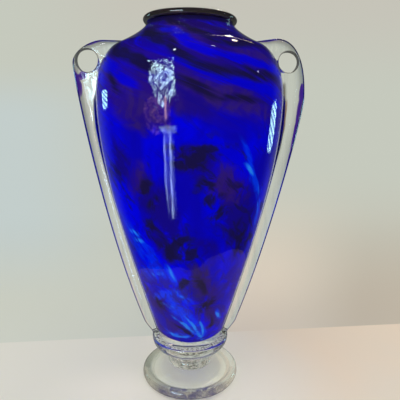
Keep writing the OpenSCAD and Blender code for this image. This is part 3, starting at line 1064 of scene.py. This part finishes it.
@dataclass
class Pedestal:
    """Collar, stem and foot, which carry the body."""

    collar_r: float = 46.5 * MM
    collar_round: float = 1.8 * MM
    collar_h: float = 18.5 * MM
    bead_r: float = 29 * MM
    ring_r: float = 26.5 * MM
    groove_r: float = 24.5 * MM
    stem_h: float = 19 * MM
    foot_r: float = 59 * MM
    foot_rim: float = 11 * MM
    foot_h: float = 17 * MM
    trough: float = 1.4 * MM
    rest_ring: float = 8.5 * MM
    punty_deep: float = 2.5 * MM
    punty_seen: float = 38 * MM
    round_share: float = 0.55
    cup_share: float = 0.9
    steps: int = 14

    def __post_init__(self) -> None:
        """Works out the heights."""
        self.stem_z = self.foot_h
        self.collar_z = self.stem_z + self.stem_h
        self.collar_top = self.collar_z + self.collar_h
        self.stem_top_r = (self.bead_r + self.groove_r) / 2
        self.stem_foot_r = self.ring_r - self.trough

    def collar(self, body: Body) -> list[Point]:
        """Outline of the collar, down into the cup that holds the body."""
        side = (self.collar_r, self.collar_top - self.collar_round)
        under = bezier((self.stem_top_r, self.collar_z),
                       (self.stem_top_r + (self.collar_r - self.stem_top_r) * self.round_share,
                        self.collar_z),
                       (self.collar_r, side[1] - self.collar_h * self.round_share), side,
                       self.steps)
        rim = arc(shifted(side, -self.collar_round, 0), self.collar_round, 0, 90, self.steps, 1)
        cup = [p for p in body.outside(self.collar_top) if p[1] < self.collar_top + MERGE]
        return [(0, self.collar_z)] + under + rim + cup[::-1]

    def stem(self) -> list[Point]:
        """Outline of the stem, two beads with a groove between them."""
        groove_z = self.stem_z + self.stem_h / 2
        groove = (self.groove_r, groove_z)
        low = (self.ring_r + self.trough, self.bead_r + self.trough)
        return ([(0, self.stem_z)]
                + bezier((self.stem_foot_r, self.stem_z), (low[0], self.stem_z),
                         (low[0], groove_z), groove, self.steps)
                + bezier(groove, (low[1], groove_z), (low[1], self.collar_z),
                         (self.stem_top_r, self.collar_z), self.steps, 1)
                + [(0, self.collar_z)])

    def foot(self) -> list[Point]:
        """Outline of the foot: polished hollow, rolled rim, trough and rise."""
        rim_r = self.foot_rim / 2
        middle = (self.foot_r - rim_r, rim_r)
        trough = (self.foot_r - self.foot_rim, self.foot_rim - self.trough)
        end = (self.stem_foot_r, self.foot_h)
        width = trough[0] - end[0]
        punty = middle[0] - self.rest_ring
        return (bezier((0, self.punty_deep), (punty * self.round_share, self.punty_deep),
                       (punty - self.punty_deep, 0), (punty, 0), self.steps)
                + arc(middle, rim_r, -90, 90, 2 * self.steps)
                + bezier(shifted(middle, 0, rim_r), shifted(middle, -rim_r / 2, rim_r),
                         shifted(trough, rim_r / 2, 0), trough, self.steps, 1)
                + bezier(trough, shifted(trough, -width / 2, 0),
                         shifted(end, width / 3, -width / 6), end, self.steps, 1)
                + [(0, self.foot_h)])

    def build(self, finishes: Finishes, body: Body) -> list[bpy.types.Object]:
        """Models collar, stem and foot with their fused faces."""
        pieces = []
        rows = (("collar_glass", self.collar(body), finishes.collar, finishes.seeds),
                ("stem_glass", self.stem(), finishes.seedy, finishes.joint),
                ("foot_glass", self.foot(), finishes.foot, finishes.joint))
        for name, outline, outside, contact in rows:
            piece = Bench.turned(name, outline)
            Bench.smooth(piece)
            Bench.dress(piece, (outside, contact), self.joint_slot)
            pieces.append(piece)
        return pieces

    def joint_slot(self, face: bpy.types.MeshPolygon) -> int:
        """The joint slot for the discs of contact and the cup."""
        reach = math.hypot(face.center.x, face.center.y)
        height = face.center.z
        level = abs(face.normal.z) > LEVEL
        disc = level and min(abs(height - self.stem_z), abs(height - self.collar_z)) < MERGE
        within = not faces_out(face) and reach < self.collar_r * self.cup_share
        cup = height > self.collar_z + MM and within
        under = reach < self.punty_seen and height < self.punty_deep + MERGE
        return int(disc or cup or under)


@dataclass
class Handle:
    """A clear bit drawn down the side, with a curl that is pierced by a round eye."""

    name: str
    side: Side
    eye_d: float
    eye_web: float
    eye_wall: float
    over: float
    wide_drop: float
    bulge: float
    beside: float | None = None
    thickness: float = 16 * MM
    tail_reach: float = 8.2 * MM
    hip_reach: float = 13.5 * MM
    hip_rise: float = 16 * MM
    eye_drop: float = 38.5 * MM
    eye_round: float = 3 * MM
    crown_out: float = 1.7 * MM
    tip_drop: float = 18.5 * MM
    tip_lift: float = 1.2 * MM
    root_fillet: float = 7 * MM
    sink: float = 1 * MM
    nose_behind: float = 2.4
    nose_before: float = 1.9
    tail_lead: float = 0.31
    hip_lean: float = 0.38
    hip_lead: float = 0.37
    swell: float = 0.93
    crown_lead: float = 0.42
    eye_cross: float = 0.8
    nose_limit: float = 0.8
    joint_touch: float = 0.01 * MM
    joint_drop: float = 0.1 * MM
    tail_steps: int = 12
    rise_steps: int = 72
    curl_steps: int = 42
    tip_steps: int = 6
    hip_stations: int = 4
    side_stations: tuple[int, int, int] = (22, 20, 8)
    fillet_steps: int = 8
    nose_steps: int = 12
    floor_steps: int = 6
    flare_steps: int = 12
    eye_steps: int = 96
    rows_per_station: int = 2
    thick_shares: tuple[Point, ...] = ((0, 0.42), (0.1, 0.6), (0.25, 0.8), (0.4, 1), (0.82, 1),
                                       (0.91, 0.8), (0.96, 0.55), (1, 0.25))
    fillet_shares: tuple[Point, ...] = ((0, 0.3), (0.3, 0.3), (0.38, 0.45), (0.48, 1), (0.52, 0.85),
                                        (0.58, 0.2), (1, 0.15))

    def outline(self, body: Body, collar_top: float) -> tuple[list[Point], list[Point], list[float]]:
        """Outer edge below and above the widest place, and the root heights of the stations."""
        hip_z = collar_top + self.hip_rise
        eye_z = body.rim_z - self.eye_drop
        tip_z = body.rim_z - self.tip_drop
        eye_r = self.eye_d / 2
        level = body.radius(eye_z)
        self.eye = (level + self.eye_web + eye_r, eye_z)
        hip = (body.radius(hip_z) + self.hip_reach, hip_z)
        tail = (body.radius(collar_top) + self.tail_reach, collar_top)
        tip = (body.radius(tip_z), tip_z + self.tip_lift)
        wide = (self.eye[0] + eye_r + self.eye_wall, body.rim_z - self.wide_drop)
        crown = (level + self.crown_out, eye_z + eye_r + self.over)
        climb = wide[1] - hip_z
        lead = self.hip_rise * self.tail_lead
        rise = (bezier(tail, shifted(tail, self.tail_reach * self.tail_lead, lead),
                       shifted(hip, -self.hip_lean * lead, -lead), hip, self.tail_steps)
                + bezier(hip, shifted(hip, self.hip_lean * climb * self.hip_lead,
                                      climb * self.hip_lead),
                         shifted(wide, 0, -climb * (1 - self.swell)), wide, self.rise_steps, 1))
        bulge = self.bulge
        if self.beside:
            risen = (eye_z - wide[1]) / (crown[1] - wide[1])
            rest = 1 - self.beside
            bulge = ((risen - self.beside ** 2 * (3 * rest + self.beside))
                     / (3 * rest * rest * self.beside))
        curl = bezier(wide, shifted(wide, 0, (crown[1] - wide[1]) * bulge),
                      shifted(crown, (wide[0] - crown[0]) * self.crown_lead, 0), crown,
                      self.curl_steps, 1)
        for step in range(1, self.tip_steps + 1):
            gone = step / self.tip_steps
            curl.append(shifted(crown, (tip[0] - crown[0]) * gone, (tip[1] - crown[1]) * gone))
        coarse = Body(side_steps=self.side_stations).side
        roots = ([collar_top + self.hip_rise * step / self.hip_stations
                  for step in range(self.hip_stations + 1)]
                 + [z for _, z in coarse if hip_z + self.tip_lift < z < tip_z - self.tip_lift]
                 + [tip_z])
        return rise, curl, roots

    def build(self, finishes: Finishes, body: Body, collar_top: float) -> bpy.types.Object:
        """Models the handle as a loft and pierces its eye."""
        rise, curl, roots = self.outline(body, collar_top)
        last = len(roots) - 1
        level_last = len([z for z in roots if z <= body.belly_z]) - 1
        table = [(z, r) for r, z in rise]
        start = (look_up(body.belly_z, table), body.belly_z)
        fan = [start] + [p for p in rise if p[1] > body.belly_z + self.tip_lift] + curl
        run = [0.0]
        for before, after in zip(fan, fan[1:]):
            run.append(run[-1] + math.dist(before, after))
        rows = []
        count = last * self.rows_per_station
        for row in range(count + 1):
            at = row / self.rows_per_station
            root_z = look_up(at, list(enumerate(roots)))
            if at <= level_last:
                edge = (look_up(root_z, table), root_z)
            else:
                gone = run[-1] * (at - level_last) / (last - level_last)
                edge = tuple(look_up(gone, [(s, p[axis]) for s, p in zip(run, fan)])
                             for axis in (0, 1))
            rows.append(self.section(body.radius(root_z), root_z, edge, at / last))
        sunk_tail = [(x, y, z - self.sink) for x, y, z in rows[0]]
        rows.insert(0, sunk_tail)
        piece = self.lofted(rows)
        Bench.smooth(piece)
        Bench.dress(piece, (finishes.drawn, finishes.joint))
        for face in piece.data.polygons:
            reach = math.hypot(face.center.x, face.center.y)
            sunk = reach < body.radius(face.center.z) + self.joint_touch
            face.material_index = int(sunk or face.center.z < collar_top - self.joint_drop)
        eye = self.eye_tool(finishes)
        Bench.cut(piece, eye)
        Bench.throw_away(eye)
        Bench.smooth(piece)
        return piece

    def section(self, root_r: float, root_z: float, edge: Point, share: float) -> list[tuple]:
        """One closed cross-section as points in space, from the sunk corner round to it again."""
        span = (edge[0] - root_r, edge[1] - root_z)
        reach = math.hypot(*span)
        out = (span[0] / reach, span[1] / reach)
        thick = self.thickness / 2 * look_up(share, self.thick_shares)
        fillet = min(self.root_fillet * look_up(share, self.fillet_shares), reach / 2)
        half = thick + fillet
        flanks = []
        for share_of_nose in (self.nose_behind, self.nose_before):
            nose = min(thick * share_of_nose, reach * self.nose_limit)
            flank = [(-self.sink, half, True)]
            for step in range(self.fillet_steps + 1):
                turn = math.pi / 2 * step / self.fillet_steps
                flank.append((fillet * (1 - math.cos(turn)), thick + fillet * (1 - math.sin(turn)),
                              True))
            for step in range(self.nose_steps):
                turn = math.pi / 2 * step / self.nose_steps
                flank.append((reach - nose * (1 - math.sin(turn)), thick * math.cos(turn), False))
            flanks.append(flank)
        ring = flanks[0] + [(reach, 0.0, False)]
        ring += [(p, -y, curved) for p, y, curved in flanks[1][::-1]]
        ring += [(-self.sink, half * (2 * step / self.floor_steps - 1), True)
                 for step in range(1, self.floor_steps + 1)]
        points = []
        for p, y, curved in ring:
            drop = root_r - math.sqrt(root_r * root_r - y * y) if curved else 0.0
            points.append((self.side.value * (root_r + out[0] * p - drop), y, root_z + out[1] * p))
        return points

    def lofted(self, rows: list[list[tuple]]) -> bpy.types.Object:
        """Lays a grid over the sections, joins its seam and closes its ends."""
        Bench.clear()
        across = len(rows[0]) - 1
        along = len(rows) - 1
        bpy.ops.mesh.primitive_grid_add(x_subdivisions=across, y_subdivisions=along, size=2)
        piece = Bench.named(self.name)
        for vertex in piece.data.vertices:
            column = round((vertex.co.x + 1) / 2 * across)
            row = round((vertex.co.y + 1) / 2 * along)
            vertex.co = rows[row][column]
        bpy.ops.object.mode_set(mode="EDIT")
        bpy.ops.mesh.select_all(action="SELECT")
        bpy.ops.mesh.remove_doubles(threshold=MERGE)
        bpy.ops.mesh.select_all(action="SELECT")
        bpy.ops.mesh.fill_holes(sides=0)
        bpy.ops.mesh.select_all(action="SELECT")
        bpy.ops.mesh.normals_make_consistent(inside=False)
        bpy.ops.object.mode_set(mode="OBJECT")
        return piece

    def eye_tool(self, finishes: Finishes) -> bpy.types.Object:
        """The tool that pierces the eye: straight in the middle, flared through both faces."""
        radius = self.eye_d / 2
        straight = self.thickness / 2 - self.eye_round * self.eye_cross
        flare = arc((radius + self.eye_round, straight), self.eye_round, 180, 90, self.flare_steps)
        top = [(radius + self.eye_round, self.thickness), (0, self.thickness)]
        upper = [(radius, 0)] + flare + top
        lower = [(r, -z) for r, z in upper[1:]]
        tool = Bench.turned(self.name + "_eye_tool", lower[::-1] + upper, self.eye_steps)
        turn = Matrix.Translation((self.side.value * self.eye[0], 0, self.eye[1]))
        tool.data.transform(turn @ Matrix.Rotation(math.pi / 2, 4, "X"))
        Bench.dress(tool, (finishes.drawn,))
        return tool


@dataclass
class Viewpoint:
    """The place that the photograph was taken from."""

    place: Place = (0.0, -454.2 * MM, 311.7 * MM)
    pitch: float = 11.2
    yaw: float = -1.46
    roll: float = 0.29
    lens: float = 35.58
    sensor: float = 36.0
    nearest: float = 10 * MM

    def build(self) -> None:
        """Sets the camera up."""
        Bench.clear()
        bpy.ops.object.camera_add(location=self.place)
        camera = bpy.context.object
        camera.name = "viewpoint"
        camera.data.lens = self.lens
        camera.data.sensor_width = self.sensor
        camera.data.sensor_fit = "HORIZONTAL"
        camera.data.clip_start = self.nearest
        turn = (Matrix.Rotation(math.radians(self.yaw), 4, "Z")
                @ Matrix.Rotation(math.radians(90 - self.pitch), 4, "X")
                @ Matrix.Rotation(math.radians(self.roll), 4, "Z"))
        camera.rotation_euler = turn.to_euler()
        bpy.context.scene.camera = camera


@dataclass(frozen=True)
class Window:
    """A window or lamp of the room that the gloss of the vase reflects.

    Its middle is seen from the vase in a direction, and its size is an angle at that distance.
    """

    name: str
    azimuth: float
    rise: float
    wide: float
    tall: float
    colour: Colour
    strength: float
    lean: float = 0.0
    patchy: float = 0.0
    patches: float = 6.0
    uneven: float = 1.0
    bars: float = 0.0
    panes: float = 0.0
    far: float = 1.5
    middle: Place = (0, 0, 0.3)
    edge: Span = (0.16, 0.34)
    cloud: Span = (0.56, 0.42)
    crease: Span = (0.012, 0.07)
    fold_scale: float = 1.7

    def build(self) -> None:
        """Hangs the lamp, which lights nothing but shows in gloss."""
        azimuth = math.radians(self.azimuth)
        rise = math.radians(self.rise)
        aim = Vector((math.sin(azimuth) * math.cos(rise), -math.cos(azimuth) * math.cos(rise),
                      math.sin(rise)))
        place = Vector(self.middle) + aim * self.far
        Bench.clear()
        bpy.ops.object.light_add(type="AREA", location=place)
        lamp = bpy.context.object
        lamp.name = self.name
        lamp.data.shape = "RECTANGLE"
        lamp.data.size = 2 * self.far * math.tan(math.radians(self.wide / 2))
        lamp.data.size_y = 2 * self.far * math.tan(math.radians(self.tall / 2))
        lamp.data.energy = self.strength * math.pi * lamp.data.size * lamp.data.size_y
        lamp.data.color = self.colour
        lean = Matrix.Rotation(math.radians(self.lean), 3, "Z")
        lamp.rotation_euler = (aim.to_track_quat("Z", "Y").to_matrix() @ lean).to_euler()
        lamp.visible_camera = False
        lamp.visible_diffuse = False
        lamp.visible_transmission = False
        lamp.visible_shadow = False
        lamp.data.use_nodes = True
        self.shade(Paint(lamp.data.node_tree))

    def shade(self, paint: Paint) -> None:
        """Gives the light uneven edges, patches, creases, bars and panes, as an old pane has."""
        spot = paint.wire(paint.node("NewGeometry"), "Parametric")
        split = paint.node("SeparateXYZ", Vector=spot)
        across, up = paint.wire(split, "X"), paint.wire(split, "Y")
        clouds = paint.noise(spot, self.patches, 4.0, 0.62, 1.5)
        folds = paint.noise(spot, self.patches * self.fold_scale, 2.0, 0.5, 2.5)
        middle = across * (1 - across) * up * (1 - up) * 16  # 1 in the middle, 0 at the edges
        shape = (middle + (clouds - 0.5) * self.uneven).step(*self.edge)
        creases = (folds - 0.5).size().step(*self.crease)
        light = shape * (1 - clouds.step(*self.cloud) * self.patchy)
        light = light * (1 - (1 - creases) * self.patchy)
        if self.bars:
            along = up * 0.9 + across * 0.35 + (clouds - 0.5) * 0.1
            light = light * self.striped(along, self.bars, (-0.7, 0.5), 0.75)
        if self.panes:
            along = across + (clouds - 0.5) * 0.25
            light = light * self.striped(along, self.panes, (-0.2, 0.6), 0.85)
        glow = paint.node("Emission", Strength=light)
        out = paint.node("OutputLight")
        paint.tree.links.new(glow.outputs[0], out.inputs["Surface"])

    @staticmethod
    def striped(along: Wire, count: float, soft: Span, depth: float) -> Wire:
        """The share of light that soft stripes let through.

        Args:
            along: Place across the stripes, from 0 to 1.
            count: How many stripes there are.
            soft: Span of the wave over which a stripe fades.
            depth: Share of light that a stripe takes.

        Returns:
            The share.
        """
        wave = (along * math.tau * count).sine()
        return wave.step(*soft) * depth + (1 - depth)


WINDOWS = (
    Window("window_light", -32, 22, 31, 46, (0.6, 0.86, 1.0), 25.0, lean=14, patchy=0.94,
           patches=4.2, uneven=2.4),
    Window("lintel_light", -25, -10.5, 22, 3.4, (0.6, 0.85, 1.0), 9.0, patchy=0.8, uneven=1.4),
    Window("doorway_light", -26, -25, 14, 32, (0.5, 0.66, 1.0), 20.0, lean=-6, patchy=0.8,
           patches=6.0, uneven=1.0, panes=2.0),
    Window("shelf_light", -37, -4, 34, 17, (1.0, 0.4, 0.4), 2.0, patchy=0.9, patches=3.5,
           uneven=1.8),
    Window("candle_light", -27, -1, 3, 12, (1.0, 0.55, 0.4), 12.0, patchy=0.4, uneven=1.6),
    Window("left_light", -116, 4.5, 16, 9, (0.5, 0.95, 1.0), 11.0, patchy=0.3, uneven=0.6, bars=5.0),
    Window("right_light", 116, -4, 16, 17, (0.5, 0.9, 1.0), 11.0, lean=8, patchy=0.3, uneven=0.6,
           bars=7.0),
    Window("bulb_light", 163, 42, 3, 3, (1.0, 0.9, 0.8), 50.0),
    Window("ceiling_light", 153, 49, 1.5, 26, (1.0, 0.75, 0.5), 8.0, lean=-45),
    Window("hall_light", 128, 58, 5, 4, (1.0, 0.8, 0.55), 40.0),
    Window("spot_light", -26, 58, 3, 4, (0.9, 0.9, 1.0), 20.0),
    Window("small_spot_light", 48, 65, 4, 3, (0.8, 0.8, 1.0), 12.0),
    Window("side_spot_light", 89, 24, 2, 2, (0.8, 0.8, 1.0), 12.0),
)


@dataclass
class Room:
    """The pale table and wall, the light of the room and its windows."""

    wall: Colour = (0.56, 0.585, 0.51)
    cool: Colour = (0.545, 0.615, 0.6)
    warm: Colour = (0.53, 0.43, 0.33)
    bright: Colour = (0.565, 0.54, 0.475)
    # lit is the colour of a painted pool of light on the wall.
    lit: Colour = (0.75, 0.65, 0.53)
    table: Colour = (0.80, 0.79, 0.70)
    warm_table: Colour = (0.97, 0.80, 0.62)
    # A painted pool of light on the table round the foot, as if the glass focused light there.
    painted_caustic: Colour = (0.98, 0.93, 0.82)
    wall_gain: Colour = (1.25, 1.25, 1.25)
    mirrored: Colour = (0.32, 0.22, 0.24)
    night: Colour = (0.012, 0.013, 0.02)
    front_glass: Colour = (0.4, 0.42, 0.4)
    side_glass: Colour = (0.16, 0.17, 0.16)
    plain: Colour = (0.78, 0.77, 0.75)
    floor_size: float = 12.0
    seam: float = 0.087
    seam_soft: float = 0.002
    seam_slant: float = 0.075
    foot_y: float = -0.01
    table_edge: float = -0.195
    table_reach: float = 0.27
    table_middle: Point = (0.03, 0.06)
    eye_y: float = 0.454
    eye_z: float = 0.312
    lamp_place: Place = (-0.55, -0.5, 1.25)
    lamp_aim: Place = (0, 0, 0.25)
    lamp_size: float = 0.9
    lamp_energy: float = 4.0

    def build(self) -> None:
        """Sets up the floor, the world and the lamps."""
        self.floor()
        self.world()
        self.key_lamp()
        for window in WINDOWS:
            window.build()

    def wall_tone(self, paint: Paint, across: Wire, rise: Wire) -> Wire:
        """The wall's colour over slopes to the side and up, as seen from the front, with a painted pool
        of light low to the right.

        Args:
            paint: The tree to work in.
            across: Sideways slope, negative to the left.
            rise: Upward slope.

        Returns:
            The colour.
        """
        left = across.step(-0.1, -0.45) * rise.step(0.15, 0.0) * rise.step(-0.5, -0.25)
        lower_right = across.step(0.05, 0.5) * rise.step(-0.1, -0.5)
        # glare is a painted pool of light on the wall low to the right of the vase.
        glare = across.step(0.0, 0.14) * across.step(0.5, 0.2) * rise.step(-0.1, -0.45)
        upper = rise.step(0.05, 0.3) * across.step(-0.45, -0.1)
        tone = self.wall
        for share, colour in ((left, self.cool), (lower_right * 0.7, self.warm),
                              (glare * 0.85, self.lit), (upper * 0.8, self.bright)):
            tone = paint.mix(share, tone, colour)
        return tone

    def floor(self) -> None:
        """Lays the floor: a table near the vase, and beyond its back edge the tone of the wall."""
        Bench.clear()
        bpy.ops.mesh.primitive_plane_add(size=self.floor_size, location=(0, 0, 0))
        floor = Bench.named("floor")
        material, paint = new_finish("pale_table")
        rays = paint.node("LightPath")
        x, y, _ = paint.axes()
        grain = paint.noise(paint.place(), 3.0, 4.0)
        away = y + self.eye_y
        across = x / away
        tone = self.wall_tone(paint, across, -self.eye_z / away)
        beyond = (y - x * self.seam_slant).step(self.seam, self.seam + self.seam_soft)
        near = paint.mix(x.step(-0.1, 0.2), self.table, self.warm_table)
        near = paint.mix(grain.step(0.3, 0.7) * 0.5, near, self.table)
        # Painted pool of light on the table round the foot, kept off its back left where the vase's soft
        # shadow falls.
        painted_caustic_share = x.step(-0.09, 0.0).over(y.step(0.03, -0.04))
        painted_caustic_share = painted_caustic_share * self.distance(x, y, (0.0, self.foot_y)).step(0.2, 0.06)
        near = paint.mix(painted_caustic_share * 0.8, near, self.painted_caustic)
        colour = paint.mix(beyond, near, paint.mix(1.0, tone, self.wall_gain, Blend.TIMES))
        off = (y < self.table_edge).over(self.distance(x, y, self.table_middle) > self.table_reach)
        mirrored = paint.wire(rays, "Is Glossy Ray") * (1 - paint.wire(rays, "Is Transmission Ray"))
        mirrored = mirrored * (paint.wire(rays, "Transmission Depth") < 0.5)
        colour = paint.mix(mirrored, colour, paint.mix(1.0, colour, self.mirrored, Blend.TIMES))
        matte = paint.node("BsdfPrincipled", Base_Color=colour, Roughness=0.6)
        glow = paint.node("Emission", Color=tone, Strength=1.0)
        mixed = paint.blend(y.step(0.1, 0.9), matte, glow)
        paint.finish(paint.blend(mirrored * off, mixed, paint.node("BsdfTransparent")))
        Bench.dress(floor, (material,))

    def distance(self, x: Wire, y: Wire, centre: Point) -> Wire:
        """Distance on the floor from a centre."""
        across = x - centre[0]
        along = y - centre[1]
        return (across * across + along * along) ** 0.5

    def world(self) -> None:
        """Lights the room from all round.

        Gloss and glass see the pale wall behind the vase, a dim room in front and above.
        """
        world = bpy.data.worlds.new("room")
        bpy.context.scene.world = world
        world.use_nodes = True
        paint = Paint(world.node_tree)
        rays = paint.node("LightPath")
        split = paint.node("SeparateXYZ", Vector=paint.node("TexCoord").outputs["Generated"])
        x, y, z = (paint.wire(split, axis) for axis in ("X", "Y", "Z"))
        ahead = y.over(0.05)
        tone = self.wall_tone(paint, x / ahead, z / ahead)
        behind = y.step(0.3, 0.85) * z.step(0.5, 0.25)
        gloss = paint.mix(behind * 0.22, self.night, tone)
        side = y.size().step(0.95, 0.5).over(z.step(0.35, 0.7) * 0.35)
        glass = paint.mix(side * 0.6, paint.mix(y.step(-0.3, 0.2), self.front_glass, tone),
                          self.side_glass)
        plain = paint.mix(paint.wire(rays, "Is Glossy Ray"), tone, gloss)
        plain = paint.mix(paint.wire(rays, "Is Transmission Ray"), plain, glass)
        colour = paint.mix(paint.wire(rays, "Diffuse Depth") > 0.5, plain, self.plain)
        back = paint.node("Background", Color=colour, Strength=1.0)
        out = paint.node("OutputWorld")
        world.node_tree.links.new(back.outputs[0], out.inputs["Surface"])

    def key_lamp(self) -> None:
        """Hangs the soft main lamp at the upper left."""
        Bench.clear()
        bpy.ops.object.light_add(type="AREA", location=self.lamp_place)
        lamp = bpy.context.object
        lamp.name = "key_lamp"
        lamp.data.size = self.lamp_size
        lamp.data.energy = self.lamp_energy
        aim = Vector(self.lamp_aim) - Vector(self.lamp_place)
        lamp.rotation_euler = aim.to_track_quat("-Z", "Y").to_euler()
        lamp.visible_camera = False
        lamp.visible_glossy = False
        lamp.visible_transmission = False


def main() -> None:
    """Builds the vase and its room."""
    logging.basicConfig(level=logging.INFO, format="%(message)s")
    bpy.context.scene.view_settings.view_transform = "Standard"
    Viewpoint().build()
    finishes = Finishes()
    body = Body()
    pedestal = Pedestal()
    casing, colour = body.build(finishes, pedestal.collar_top)
    thread, skin = Lip().build(finishes)
    collar, stem, foot = pedestal.build(finishes, body)
    left = Handle("left_handle_glass", Side.LEFT, eye_d=24.5 * MM, eye_web=6.6 * MM, eye_wall=4.2 * MM,
                  over=9.4 * MM, wide_drop=41 * MM, bulge=0.5)
    right = Handle("right_handle_glass", Side.RIGHT, eye_d=22.5 * MM, eye_web=3.6 * MM, eye_wall=9.2 * MM,
                   over=13.6 * MM, wide_drop=77.5 * MM, bulge=0.75, beside=0.32)
    handles = [handle.build(finishes, body, pedestal.collar_top) for handle in (left, right)]
    for handle in handles:
        Bench.cut(casing, handle)
        Bench.cut(collar, handle)
    Bench.smooth(casing)
    Bench.smooth(collar)
    Bench.seat(casing, "casing_glass", "clear_casing")
    Bench.seat(colour, "cobalt_glass", "colour_body")
    Bench.seat(thread, "dark_glass", "lip_wrap")
    Bench.seat(skin, "clear_glass")
    Bench.seat(collar, "clear_glass", "collar")
    Bench.seat(stem, "clear_glass", "stem")
    Bench.seat(foot, "clear_glass", "foot")
    Bench.seat(handles[0], "clear_glass", "left_handle")
    Bench.seat(handles[1], "clear_glass", "right_handle")
    Room().build()


if __name__ == "__main__":
    main()
